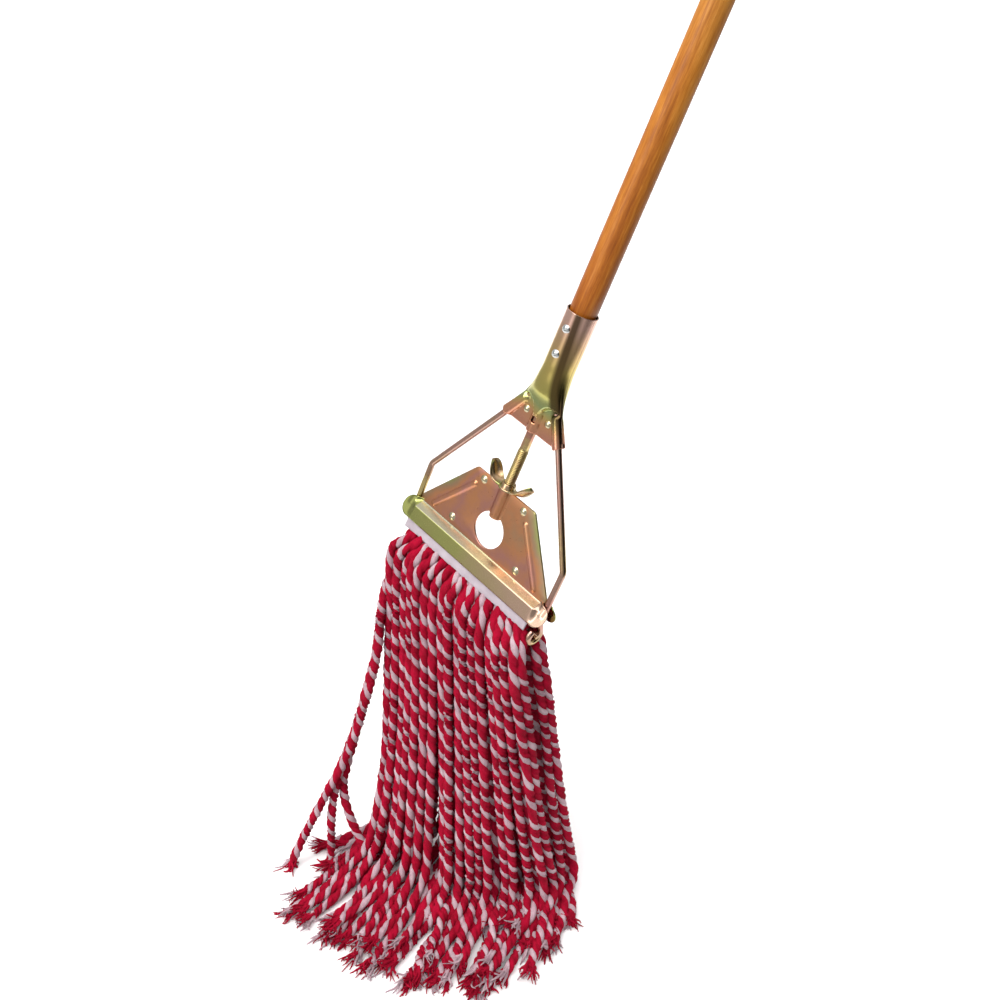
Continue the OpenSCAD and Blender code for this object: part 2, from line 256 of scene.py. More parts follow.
MAT_PLATE = zinc_material("zinc_plate", [
    (0.32, OLIVE), (0.41, BROWN), (0.49, PINK), (0.555, PLUM), (0.62, PINK)], scale=22, zone=over_plate)
MAT_FACET = zinc_material("zinc_facet", [
    (0.28, (0.33, 0.31, 0.22)), (0.42, (0.40, 0.37, 0.26)), (0.54, (0.60, 0.50, 0.28)),
    (0.66, (0.62, 0.46, 0.32))], (0.14, 0.26), 14, zone=along_jaw)
# painted shade: the lip and ears are the same plated sheet as the facet, given this darker ramp so they read
# as shaded below the bend
MAT_LIP_PAINTED_SHADE = zinc_material("zinc_lip_painted_shade", [
    (0.28, (0.30, 0.33, 0.10)), (0.42, (0.32, 0.31, 0.11)), (0.54, (0.36, 0.28, 0.15)),
    (0.66, (0.40, 0.27, 0.20))], (0.16, 0.3), 14, zone=along_jaw)
MAT_SOCKET = socket_material()
MAT_WIRE = zinc_material("zinc_wire", [
    (0.34, PLUM), (0.46, (0.48, 0.30, 0.24)), (0.56, BROWN), (0.66, GOLD)], (0.16, 0.3), 26)
MAT_ROD = zinc_material("zinc_rod", [(0.36, BROWN), (0.5, PLUM), (0.64, GOLD)], (0.16, 0.28), 40)
MAT_THREAD = zinc_material("zinc_thread", [
    (0.36, (0.46, 0.35, 0.15)), (0.5, (0.52, 0.41, 0.18)), (0.64, BROWN)], (0.22, 0.36), 60)
MAT_NUT = zinc_material("zinc_nut", [
    (0.34, GOLD), (0.46, (0.54, 0.43, 0.24)), (0.56, BROWN), (0.66, OLIVE)], (0.16, 0.3), 60)
MAT_RIVET = zinc_material("zinc_rivet", [
    (0.3, (0.52, 0.46, 0.28)), (0.6, (0.56, 0.50, 0.34))], (0.14, 0.24), 60)
MAT_SCREW = zinc_material("screw_steel", [
    (0.3, (0.60, 0.62, 0.62)), (0.7, (0.72, 0.73, 0.72))], (0.14, 0.26), 80)


def wood_material():
    """Varnished hardwood: long fibres along the handle, a warmer and darker foot."""
    n = Nodes("varnished_wood")
    uv = n.uv()
    fibre = n.noise(n.scaled(uv, 46, 38, 1), 1.0, 5, 0.65)
    streak = n.noise(n.scaled(uv, 9, 6.5, 1), 1.0, 3, 0.55)
    pores = n.noise(n.scaled(uv, 150, 110, 1), 1.0, 3, 0.7)
    tone = n.plus(n.mul(fibre, 0.45), n.mul(streak, 0.55))
    light = n.ramp(tone, [(0.36, (0.36, 0.140, 0.020)), (0.45, (0.52, 0.235, 0.045)),
                          (0.54, (0.67, 0.340, 0.080)), (0.66, (0.83, 0.495, 0.175))])
    sep = n.parts(uv)
    foot = n.ramp(sep["Y"], [(0.06, (0.58, 0.33, 0.10)), (0.25, (0.82, 0.58, 0.28)),
                                     (0.48, (1.0, 1.0, 1.0)), (0.70, (0.97, 0.97, 0.96))])
    colour = n.mix(1.0, light, foot, "MULTIPLY")
    dark = n.ramp(pores, [(0.30, (0.55, 0.5, 0.45)), (0.42, (1, 1, 1))])
    colour = n.mix(0.55, colour, dark, "MULTIPLY")
    n.put(Base_Color=colour, Roughness=0.45, Coat_Weight=0.1, Coat_Roughness=0.25,
          Normal=n.bump(n.plus(fibre, n.mul(pores, 0.5)), 0.25, 0.0004))
    n.bsdf.inputs["Specular IOR Level"].default_value = 0.28
    return n.mat


def yarn_material(name, dark, base, pale):
    """One ply: fine threads wound along it, fuzz and a soft sheen."""
    n = Nodes(name)
    uv = n.uv()
    p = n.object_coords()
    sep = n.parts(uv)
    # threads of a ply run nearly along the strand's axis, against its twist
    turn = n.plus(n.mul(sep["X"], 9.0), n.mul(sep["Y"], 260.0))
    wobble = n.mul(n.noise(p, 900, 3, 0.6), 1.6)
    thread = n.math("SINE", n.mul(n.plus(turn, wobble), 6.2832))
    fuzz = n.noise(p, 2600, 3, 0.7)
    patch = n.noise(p, 55, 3, 0.6)
    threads = n.mul(n.mul(thread, 0.5), 0.42)
    shade = n.plus(threads, n.mul(patch, 0.75))
    shade = n.plus(shade, n.mul(fuzz, 0.30))
    colour = n.ramp(shade, [(0.20, dark), (0.48, base), (0.85, pale)])
    height = n.plus(n.mul(thread, 0.5), n.mul(fuzz, 0.8))
    n.put(Base_Color=colour, Roughness=0.95, Sheen_Weight=0.12, Sheen_Roughness=0.5,
          Normal=n.bump(height, 0.7, 0.0007))
    n.bsdf.inputs["Sheen Tint"].default_value = (*pale, 1)
    n.bsdf.inputs["Specular IOR Level"].default_value = 0.15
    return n.mat


MAT_WOOD = wood_material()
MAT_RED = yarn_material("yarn_red", (0.15, 0.001, 0.008), (0.40, 0.001, 0.022), (0.54, 0.004, 0.040))
MAT_WHITE = yarn_material("yarn_white", (0.32, 0.15, 0.20), (0.55, 0.36, 0.41), (0.76, 0.62, 0.66))


def tape_material():
    """Woven cotton tape, slightly uneven in tone."""
    n = Nodes("white_tape")
    uv = n.uv()
    sep = n.parts(uv)
    warp = n.math("SINE", n.mul(sep["X"], 4200.0))
    weft = n.math("SINE", n.mul(sep["Y"], 4200.0))
    weave = n.mul(warp, weft)
    cloud = n.noise(n.object_coords(), 45, 4, 0.6)
    fuzz = n.noise(n.object_coords(), 1800, 2, 0.6)
    soiling = n.plus(n.mul(cloud, 0.7), n.mul(fuzz, 0.2))
    tone = n.plus(n.mul(weave, 0.12), soiling)
    colour = n.ramp(tone, [(0.2, (0.32, 0.26, 0.30)), (0.5, (0.47, 0.41, 0.45)), (0.8, (0.60, 0.54, 0.58))])
    height = n.plus(weave, n.mul(fuzz, 0.6))
    n.put(Base_Color=colour, Roughness=0.9, Sheen_Weight=0.2, Normal=n.bump(height, 0.5, 0.0003))
    return n.mat


MAT_TAPE = tape_material()


# ---------------------------------------------------------------- mesh helpers
def mesh_object(name, verts, faces, materials, uvs=None, slots=None, smooth=True):
    """An object from row-frame points; uvs has one pair per vertex, slots one index per face."""
    me = bpy.data.meshes.new(name)
    me.from_pydata([tuple(map(float, v)) for v in verts], [], faces)
    for m in materials:
        me.materials.append(m)
    if slots is not None:
        me.polygons.foreach_set("material_index", np.array(slots, np.int32))
    if smooth:
        me.polygons.foreach_set("use_smooth", [True] * len(me.polygons))
    if uvs is not None:
        layer = me.uv_layers.new(name="UVMap")
        loops = np.zeros(len(me.loops), np.int32)
        me.loops.foreach_get("vertex_index", loops)
        layer.data.foreach_set("uv", np.array(uvs, np.float32)[loops].ravel())
    me.validate()
    o = bpy.data.objects.new(name, me)
    bpy.context.scene.collection.objects.link(o)
    return o


def grid_faces(rows, cols, closed, start=0):
    """Quads of a grid of rows by cols points; closed joins the last column to the first."""
    out = []
    for i in range(rows - 1):
        for j in range(cols if closed else cols - 1):
            k = (j + 1) % cols
            a, b = start + i * cols, start + (i + 1) * cols
            out.append((a + j, a + k, b + k, b + j))
    return out


def resample(path, n):
    """n points evenly spaced along a polyline."""
    p = np.asarray(path, float)
    s = np.r_[0, np.cumsum(np.linalg.norm(np.diff(p, axis=0), axis=1))]
    t = np.linspace(0, s[-1], n)
    return np.stack([np.interp(t, s, p[:, k]) for k in range(3)], 1)


def smooth_curve(points, n):
    """A Catmull-Rom curve through points, resampled to n even points."""
    p = np.asarray(points, float)
    p = np.vstack([2 * p[0] - p[1], p, 2 * p[-1] - p[-2]])
    out = []
    for i in range(1, len(p) - 2):
        for t in np.linspace(0, 1, 24, endpoint=False):
            a, b, c, d = p[i - 1], p[i], p[i + 1], p[i + 2]
            out.append(0.5 * (2 * b + (c - a) * t + (2 * a - 5 * b + 4 * c - d) * t * t
                              + (3 * b - a - 3 * c + d) * t ** 3))
    out.append(p[-2])
    return resample(out, n)


def frames(path):
    """Tangents and two steady normals along a path; normal 1 x normal 2 is the tangent."""
    t = np.gradient(path, axis=0)
    t /= np.linalg.norm(t, axis=1)[:, None]
    a = np.cross(t[0], [0.3, 0.9, 0.1])
    a /= np.linalg.norm(a)
    n1 = [a]
    for i in range(1, len(path)):
        a = a - t[i] * a.dot(t[i])
        a /= np.linalg.norm(a)
        n1.append(a)
    n1 = np.array(n1)
    return t, n1, np.cross(t, n1)


def tube(path, radius, sides):
    """Vertices and faces of a tube with closed ends; radius is a number or one per point."""
    _, n1, n2 = frames(path)
    r = np.broadcast_to(np.asarray(radius, float), (len(path),))
    ang = np.linspace(0, 2 * math.pi, sides, endpoint=False)
    ring = np.cos(ang)[None, :, None] * n1[:, None] + np.sin(ang)[None, :, None] * n2[:, None]
    v = (path[:, None] + r[:, None, None] * ring).reshape(-1, 3)
    f = grid_faces(len(path), sides, True)
    f.append(tuple(range(sides - 1, -1, -1)))
    f.append(tuple(range(len(v) - sides, len(v))))
    return v, f


# ---------------------------------------------------------------- strands
STRAND_R = 0.0049
STRAND_L = 0.453
LOOSE_L = 0.42
TWIST = 0.022
FLOOR_Z = cad_box[0][2]


def bez(a, b, c, k):
    """The point at k on the quadratic Bezier curve from a to c, pulled towards b."""
    a, b, c = map(np.array, (a, b, c))
    return a * (1 - k) ** 2 + 2 * b * k * (1 - k) + c * k * k


def strand_guide(k, depth, jitter):
    """Guide of one strand: k runs from the head's left end to its right, depth from its front to its back."""
    side = -1 if depth < 0.5 else 1
    inner = 0.22 < depth < 0.78
    x_top = -77 + 155 * k
    jaw = JAW * 1000
    far = float(np.clip((k - 0.4) * 2, 0, 1))
    rel = lambda x, y, z: head(x, y, z) * 1000 - jaw
    reach = (11.0 if inner else 17.0) + 1.2 * jitter[5]
    top = [rel(x_top, side * (4.0 if inner else 5.5), -21), rel(x_top, side * (5.0 if inner else 7.2), -27.5),
           rel(x_top * (1.03 + 0.04 * far), side * (7.5 if inner else 13.0), -33.5),
           rel(x_top * (1.10 + 0.06 * far), side * reach, -43),
           rel(x_top * (1.17 + 0.10 * far), side * (reach + 1.0), -58 + 3 * jitter[3])]
    # where it meets the floor and where its end lies
    land = (bez((-142, 12), (-40, -66), (70, -50), k) * (1 - depth)
            + bez((-118, 52), (30, 58), (101, -8), k) * depth)
    tip = (bez((-206, -40), (-92, -190), (46, -98), k) * (1 - depth)
           + bez((-178, 32), (38, 16), (90, -56), k) * depth)
    land = land + jitter[:2] * 5
    tip = tip + jitter[1:3] * 8
    out = land - np.array([-20.0, -5.0])
    out /= np.linalg.norm(out) + 1e-9
    base = top[-1][:2]
    floor_z = FLOOR_Z * 1000 - jaw[2] + STRAND_R * 1000 + (4.0 if inner else 0.0)

    def at(z, left, right, bulge=0.0):
        q = base + (land - base) * (left * (1 - k) + right * k) + out * bulge
        return np.array([q[0], q[1], z])

    run = tip - land
    way = [at(-150 + 8 * jitter[3], 0.14, 0.19, 1), at(-245 + 8 * jitter[4], 0.28, 0.42, 2),
           at(-300, 0.44, 0.60, 2), at(-345, 0.68, 0.78, 1), at(floor_z + 20, 0.93, 0.95, -2),
           np.array([*(land + run * 0.20), floor_z + 7]), np.array([*(land + run * 0.5), floor_z + 1]),
           np.array([*tip, floor_z])]
    return smooth_curve(top + way, 64)


def fit_length(p, length):
    """Cuts or stretches the last part of a guide to the strand's real length."""
    s = np.r_[0, np.cumsum(np.linalg.norm(np.diff(p, axis=0), axis=1))]
    if s[-1] >= length:
        t = np.linspace(0, length, len(p))
        return np.stack([np.interp(t, s, p[:, k]) for k in range(3)], 1)
    tail = p[-1] - p[-2]
    tail[2] = 0
    tail /= np.linalg.norm(tail) + 1e-9
    return resample(np.vstack([p, p[-1] + tail * (length - s[-1])]), len(p))


def all_guides():
    """A guide for each strand, with its place along the jaw, its depth and the length it is cut to."""
    guides, tags = [], []
    for depth, count in ((0.0, 17), (0.30, 14), (0.70, 14), (1.0, 17)):
        for i in range(count):
            k = (i + 0.5) / count + (0.02 if 0.2 < depth < 0.8 else 0) + RNG.uniform(-0.012, 0.012)
            k = 0.03 + 0.97 * k if depth == 0.0 else k
            k = min(0.99, max(0.01, k))
            extra = 32 * (1 - k) if depth < 0.5 else 24 * (1 - k) ** 1.6 - 22
            length = STRAND_L * 1000 + extra + RNG.uniform(-10, 10)
            guides.append(fit_length(strand_guide(k, depth, RNG.uniform(-1, 1, 6)), length))
            tags.append((k, depth, length / 1000))
    # three loose strands that hang clear of the rest on the left
    jaw = JAW * 1000
    left = [(-97, 34, -95), (-101, 32, -132), (-113, 30, -181), (-131, 26, -240), (-148, 24, -280),
            (-172, 16, -326), (-192, 11, -366), (-202, 7, -389)]
    middle = [(-98, 42, -95), (-102, 40, -135), (-115, 38, -184), (-132, 33, -243), (-149, 30, -287),
              (-159, 22, -334), (-160, 16, -366), (-162, 10, -389)]
    right = [(-97, 49, -95), (-102, 47, -138), (-116, 45, -188), (-131, 40, -247), (-144, 36, -288),
             (-147, 30, -316), (-140, 22, -342), (-127, 12, -372), (-120, 6, -389)]
    for k, way in ((0.02, left), (0.05, middle), (0.08, right)):
        top = [head(-77 + 154 * k, 3.0, -19) * 1000 - jaw, head(-82 + 160 * k, 7.0, -30) * 1000 - jaw,
               head(-88 + 160 * k, 8.0, -46) * 1000 - jaw]
        guides.append(smooth_curve(top + [np.array(w, float) for w in way], 64))
        tags.append((k, 2.0, LOOSE_L))
    return np.array(guides), tags


def relax(g, steps):
    """Pushes strands apart to a strand's width while they keep their length and stay near their guides."""
    n, m, _ = g.shape
    p = g.reshape(-1, 3).copy()
    guide = p.copy()
    strand = np.repeat(np.arange(n), m)
    index = np.tile(np.arange(m), n)
    free = index >= 3
    seg = np.linalg.norm(np.diff(g, axis=1), axis=2)
    width = 2 * STRAND_R * 1000 * 0.93
    keep = np.where(index < 9, 0.25, 0.035)
    for step in range(steps):
        if step % 3 == 0:
            order = np.argsort(p[:, 2])
            z = p[order, 2]
            lo = np.arange(len(p))
            hi = np.searchsorted(z, z + width, side="right")
            pairs_a, pairs_b = [], []
            for shift in range(1, int((hi - lo).max())):
                ok = lo + shift < hi
                a, b = order[lo[ok]], order[(lo + shift)[ok]]
                near = (np.abs(p[a, 0] - p[b, 0]) < width * 1.3) & (np.abs(p[a, 1] - p[b, 1]) < width * 1.3)
                near &= (strand[a] != strand[b])
                pairs_a.append(a[near])
                pairs_b.append(b[near])
            a, b = np.concatenate(pairs_a), np.concatenate(pairs_b)
        d = p[b] - p[a]
        dist = np.linalg.norm(d, axis=1) + 1e-6
        squeeze = np.clip((np.minimum(index[a], index[b]) - 2) / 6.0, 0.0, 1)
        want = width * (0.62 + 0.38 * squeeze)
        over = np.clip(want - dist, 0, None)
        push = d / dist[:, None] * (over * 0.42)[:, None]
        move = np.zeros_like(p)
        count = np.ones(len(p))
        np.add.at(move, a, -push)
        np.add.at(move, b, push)
        np.add.at(count, a, over > 0)
        np.add.at(count, b, over > 0)
        p[free] += (move / np.sqrt(count)[:, None])[free]
        p += (guide - p) * keep[:, None]
        q = p.reshape(n, m, 3)
        for _ in range(3):
            e = q[:, 1:] - q[:, :-1]
            length = np.linalg.norm(e, axis=2) + 1e-9
            fix = e * ((length - seg) / length * 0.5)[..., None]
            q[:, :-1] += fix
            q[:, 1:] -= fix
            q[:, :3] = g[:, :3]
        q[:, 1:-1] += (q[:, :-2] + q[:, 2:] - 2 * q[:, 1:-1]) * 0.12
        p = q.reshape(-1, 3)
        p[:, 2] = np.maximum(p[:, 2], FLOOR_Z * 1000 - JAW[2] * 1000 + STRAND_R * 1000)
    return p.reshape(n, m, 3)


LOBES, AROUND = 3, 18


def strand_mesh(name, line, phase, rings):
    """A three-ply twisted strand with one white ply, and the threads its plies open into at the cut end."""
    path = smooth_curve(line, rings)
    t, n1, n2 = frames(path)
    length = float(np.linalg.norm(np.diff(path, axis=0), axis=1).sum())
    s = np.linspace(0, length, rings)
    per = AROUND // LOBES
    lobe_of = np.arange(AROUND) // per
    rel = ((np.arange(AROUND) % per) + 0.5) / per * 2 * math.pi / LOBES - math.pi / LOBES
    off, ply = STRAND_R * 0.36, STRAND_R * 0.645
    outline = off * np.cos(rel) + np.sqrt(ply ** 2 - (off * np.sin(rel)) ** 2)
    puff = (1 + 0.06 * np.sin(s * 203 + phase * 3)[:, None]
            + 0.07 * np.sin(s[:, None] * 311 + phase + lobe_of[None] * 2.1))
    pitch = TWIST * (1 + 0.20 * math.sin(phase * 5))
    loose = 0.34 * np.exp(-s / 0.05)
    turns = s / pitch - loose * s / pitch + 0.16 * np.sin(s * 47 + phase) + 0.10 * np.sin(s * 118 + phase * 4)
    a = np.arange(AROUND)[None] * 2 * math.pi / AROUND + phase - 2 * math.pi * turns[:, None]
    r = outline[None] * puff
    end = np.clip((s - (length - 0.006)) / 0.006, 0, 1)[:, None]
    r = r * (1 - 0.35 * end)
    v = path[:, None] + r[..., None] * (np.cos(a)[..., None] * n1[:, None]
                                        + np.sin(a)[..., None] * n2[:, None])
    across = np.broadcast_to(np.arange(AROUND) / AROUND * 3, (rings, AROUND))
    uv = np.stack([across.ravel(), np.repeat(s, AROUND)], 1)
    faces = grid_faces(rings, AROUND, True)
    slots = [1 if j // per == 0 else 0 for _ in range(rings - 1) for j in range(AROUND)]
    faces += [tuple(range(AROUND - 1, -1, -1)), tuple(range((rings - 1) * AROUND, rings * AROUND))]
    slots += [0, 0]
    strand = mesh_object(name, v.reshape(-1, 3), faces, [MAT_RED, MAT_WHITE], uv, slots)
    # the cut end: each ply opens into a tuft of threads
    verts, faces, slots, uvs, count = [], [], [], [], 0
    for j in range(27):
        lobe = j % LOBES
        base_a = a[-1][lobe * per + per // 2] + random.uniform(-0.9, 0.9)
        aside = math.cos(base_a) * n1[-1] + math.sin(base_a) * n2[-1]
        root = path[-3] + aside * STRAND_R * random.uniform(0.15, 0.75)
        ln = random.uniform(0.011, 0.023)
        open_out = random.uniform(0.002, 0.009)
        curl = np.array([random.uniform(-1, 1), random.uniform(-1, 1), random.uniform(-0.5, 0.5)]) * 0.006
        bend = random.uniform(0, 6.28)
        pts = np.array([root + t[-1] * ln * u + aside * open_out * u * u + curl * u * math.sin(4 * u + bend)
                        for u in np.linspace(0, 1, 8)])
        pts[:, 2] = np.maximum(pts[:, 2], FLOOR_Z + 0.0006)
        rad = np.array([1, 1, 1, 0.95, 0.9, 0.8, 0.65, 0.4]) * random.uniform(0.0007, 0.0015)
        tv, tf = tube(pts, rad, 5)
        verts.append(tv)
        uvs.append(np.stack([np.tile(np.arange(5) / 5, 8), np.repeat(np.linspace(0, ln, 8), 5)], 1))
        faces += [tuple(i + count for i in f) for f in tf]
        slots += [1 if lobe == 0 else 0] * len(tf)
        count += len(tv)
    fray = mesh_object(name.replace("strand", "fray"), np.vstack(verts), faces, [MAT_RED, MAT_WHITE],
                       np.vstack(uvs), slots)
    return strand, fray, path


guides, tags = all_guides()
relaxed = relax(guides, 150)
for i, line in enumerate(relaxed):
    k, depth, cut_length = tags[i]
    where = "loose" if depth > 1.5 else "front" if depth < 0.5 else "back"
    third = "left" if k < 0.335 else "middle" if k < 0.665 else "right"
    name = f"strand_{where}_{third}_{i + 1:02d}"
    o, fray, path = strand_mesh(name, JAW + line / 1000, float(RNG.uniform(0, 6.28)), 150)
    for piece in (o, fray):
        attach(piece, "frame")
    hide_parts(f"yarn_{'back' if where == 'back' else 'front'}_{third}")


# ---------------------------------------------------------------- metal parts
GAP, SHEET, SOCKET_T, ROD_R, SHANK_R, WIRE_R = 0.02, 1.1, 1.2, 4.765, 4.25, 3.0
PLATE_TOP, WINDOW_Z, WINDOW_R = 66.3, 22.0, 17.5
SOCKET_RIVET = (13.0, 141.5)
HANDLE_R = 11.9
SOCKET_R = HANDLE_R + 0.15 + SOCKET_T


def smooth01(x):
    """0 below 0, 1 above 1, and an S-curve between."""
    k = np.clip(x, 0, 1)
    return k * k * (3 - 2 * k)


def soft_max(a, b, k):
    """The larger of two, blended over a width of k where they are nearly equal."""
    h = np.clip(0.5 + 0.5 * (a - b) / k, 0, 1)
    return b * (1 - h) + a * h + k * h * (1 - h)


def to_row(points):
    """Head-frame millimetres, as an array, to row-frame metres."""
    p = np.asarray(points, float).reshape(-1, 3) / 1000
    return JAW + p[:, :1] * ALONG + p[:, 1:2] * BACK + p[:, 2:] * UP


def metal(name, points, faces, material, body, node, sharp=40, thick=0.0, uvs=None):
    """A metal piece from head-frame points, crisp at bends; thick adds a sheet's other face behind it."""
    flat = np.asarray(points, float).reshape(-1, 3)
    o = mesh_object(name, to_row(points), faces, [material], flat[:, [0, 2]] / 100 if uvs is None else uvs)
    if sharp:
        o.data.set_sharp_from_angle(angle=math.radians(sharp))
    if thick:
        m = o.modifiers.new("thickness", "SOLIDIFY")
        m.thickness, m.offset, m.use_even_offset = thick / 1000, -1, True
    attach(o, body)
    if node:
        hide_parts(node)
    return o


def turned_about(points, back):
    """The same sheet on the other side: a half turn about the head's own vertical axis."""
    return np.asarray(points) * [-1, -1, 1] if back else np.asarray(points)


def lathe(profile, sides, centre, axis):
    """Points and faces turned about an axis; profile has (radius, distance along the axis)."""
    centre, axis = np.asarray(centre, float), np.asarray(axis, float)
    u = np.cross(axis, [0.31, 0.2, 0.93])
    u /= np.linalg.norm(u)
    v = np.cross(axis, u)
    pts = []
    for r, h in profile:
        for j in range(sides):
            a = 2 * math.pi * j / sides
            pts.append(centre + axis * h + r * (math.cos(a) * u + math.sin(a) * v))
    return np.array(pts), grid_faces(len(profile), sides, True)


def join(parts):
    """Several (points, faces) as one."""
    pts, faces, n = [], [], 0
    for p, f in parts:
        pts.append(np.asarray(p, float))
        faces += [tuple(i + n for i in q) for q in f]
        n += len(p)
    return np.vstack(pts), faces


def corner(a, b, c, r, steps):
    """An arc of radius r round the corner b of the line from a to c."""
    a, b, c = (np.array(p, float) for p in (a, b, c))
    u, v = (a - b) / np.linalg.norm(a - b), (c - b) / np.linalg.norm(c - b)
    half = math.acos(float(np.clip(u @ v, -1, 1))) / 2
    reach, mid = r / math.tan(half), b + (u + v) / np.linalg.norm(u + v) * r / math.sin(half)
    p0, p1 = b + u * reach - mid, b + v * reach - mid
    full = math.acos(float(np.clip(p0 @ p1 / r ** 2, -1, 1)))
    return [mid + (math.sin((1 - k) * full) * p0 + math.sin(k * full) * p1) / math.sin(full)
            for k in np.linspace(0, 1, steps)]


def rounded_polygon(corners, radius, steps=8):
    """Outline with rounded corners as an array of points."""
    after = corners[1:] + corners[:1]
    return np.array([p for i, b in enumerate(corners)
                     for p in corner(corners[i - 1], b, after[i], radius[i], steps)])


def plate_sheet():
    """Flat sheet with a window, rounded rims, pressed ribs and the half pipe over the rod."""
    top = PLATE_TOP - 0.02
    half_top, half_foot, shoulder, foot = 37.1, 83.2, 5.7, 0.3
    outline = rounded_polygon([(-half_top, top), (-half_foot, shoulder), (-half_foot, foot),
                               (half_foot, foot), (half_foot, shoulder), (half_top, top)],
                              [3, 3, 0.2, 0.2, 3, 3])
    angle = np.linspace(-math.pi, math.pi, 240, endpoint=False)
    rel = outline - [0, WINDOW_Z]
    oa = np.arctan2(rel[:, 1], rel[:, 0])
    order = np.argsort(oa)
    nearest = {int(np.argmin(np.abs(angle - a))): a for a in oa[order]}
    for i, a in nearest.items():
        angle[i] = a
    closed = np.vstack([rel, rel[:1]])
    reach = []
    for a in angle:
        d = np.array([math.cos(a), math.sin(a)])
        best = 0
        for p, q in zip(closed[:-1], closed[1:]):
            e = q - p
            det = d[0] * -e[1] + d[1] * e[0]
            if abs(det) < 1e-9:
                continue
            s = (p[0] * -e[1] + p[1] * e[0]) / det
            w = (d[0] * p[1] - d[1] * p[0]) / det
            if s > 0 and -1e-6 <= w <= 1 + 1e-6:
                best = max(best, s)
        reach.append(best)
    reach = np.array(reach)
    ray = np.stack([np.cos(angle), np.sin(angle)], 1)
    # the window is a little squarer and narrower than a circle
    hole = WINDOW_R * (1 - 0.035 * np.abs(np.cos(angle)) ** 3 + 0.012 * np.cos(4 * angle))
    rings = []
    for r, y in ((hole, 0), (hole, SHEET * 0.62), (hole + 0.25, SHEET * 0.92), (hole + 0.6, SHEET)):
        rings.append((r, y))
    for k in (0.3, 0.65):
        rings.append((hole + (reach - hole) * k, SHEET))
    for inset, y in ((0.6, SHEET), (0.25, SHEET * 0.92), (0, SHEET * 0.62), (0, 0)):
        rings.append((reach - inset, y))
    pts = []
    for r, y in rings:
        xz = ray * np.asarray(r)[:, None] + [0, WINDOW_Z]
        pts.append(np.stack([xz[:, 0], np.full(len(xz), -GAP - y), xz[:, 1]], 1))
    parts = [(np.vstack(pts), grid_faces(len(rings), len(angle), True))]
    inner = np.vstack([pts[-1], pts[0]])
    parts.append((inner, grid_faces(2, len(angle), True)))
    # pressed ribs: a smooth swelling with rounded ends and a shallow groove round it
    for m in (-1, 1):
        a = math.radians(142.85) * m
        run = np.array([math.sin(a), 0, math.cos(a)])
        side = np.array([-run[2], 0, run[0]])
        length, half = 56.3, 3.7
        rows = []
        for s in np.r_[np.linspace(-half, 0, 9), np.linspace(4, length - 4, 8),
                       np.linspace(length, length + half, 9)]:
            over = max(0.0, -s, s - length)
            w = math.sqrt(max(0.0, half ** 2 - over ** 2)) + 0.02
            for u in np.linspace(-1, 1, 17):
                d = math.hypot(over, u * w) / half
                swell = 1.55 * max(0.0, math.cos(min(1.0, d * 1.18) * math.pi / 2)) ** 0.8
                lift = swell - 0.42 * math.exp(-((d - 0.93) / 0.09) ** 2)
                base = np.array([m * 33.0, -GAP - SHEET, 50.6]) + run * s + side * u * w
                rows.append(base + [0, -0.03 - lift if lift > 0 else 0.02, 0])
        parts.append((rows, grid_faces(26, 17, False)))
    # half pipe over the rod, with a small fillet at each side
    r = ROD_R + 0.06 + SHEET
    ang = np.linspace(math.pi, 2 * math.pi, 33)
    face = -GAP - SHEET
    fillet = [(r + 2.07, face + 0.02), (r + 1.07, face - 0.12), (r + 0.37, face - 0.7)]
    section = [(-x, y) for x, y in fillet]
    section += [(r * math.cos(a), r * math.sin(a)) for a in ang if r * math.sin(a) < -2.0]
    section += fillet[::-1]
    rows = []
    for z, pull in ((36.5, 0.25), (36.9, 0.0), (39, 0), (50, 0), (60, 0), (PLATE_TOP - 0.4, 0),
                    (PLATE_TOP, 0.25)):
        for x, y in section:
            narrow = min(1.0, (z - 36.5) / 6 + 0.72) if abs(x) > r + 0.07 else 1.0
            rows.append([x * narrow, y + pull * min(1, max(0, -y - 1.1)), z])
    parts.append((rows, grid_faces(7, len(section), False)))
    # the pipe's open end
    inner_r = ROD_R + 0.06
    rows = [[q * math.cos(a), min(-GAP, q * math.sin(a)), 36.55] for q in (inner_r, r - 0.2) for a in ang]
    parts.append((rows, grid_faces(2, len(ang), False)))
    rows = [[inner_r * math.cos(a), inner_r * math.sin(a) - GAP, z] for z in (36.55, 45) for a in ang]
    parts.append((rows, grid_faces(2, len(ang), False)))
    return join(parts)


# how far the lip stands out at each height, with its bends rounded over 0.8 mm
BEND = np.linspace(-20, 3, 1151)
LEAN = np.where(BEND > 0, 0.0, np.where(BEND > -4.5, 2.0, 0.148))
LEAN = np.convolve(np.pad(LEAN, 20, mode="edge"), np.ones(41) / 41, mode="valid")
OFF = np.cumsum(LEAN[::-1])[::-1] * (BEND[1] - BEND[0])


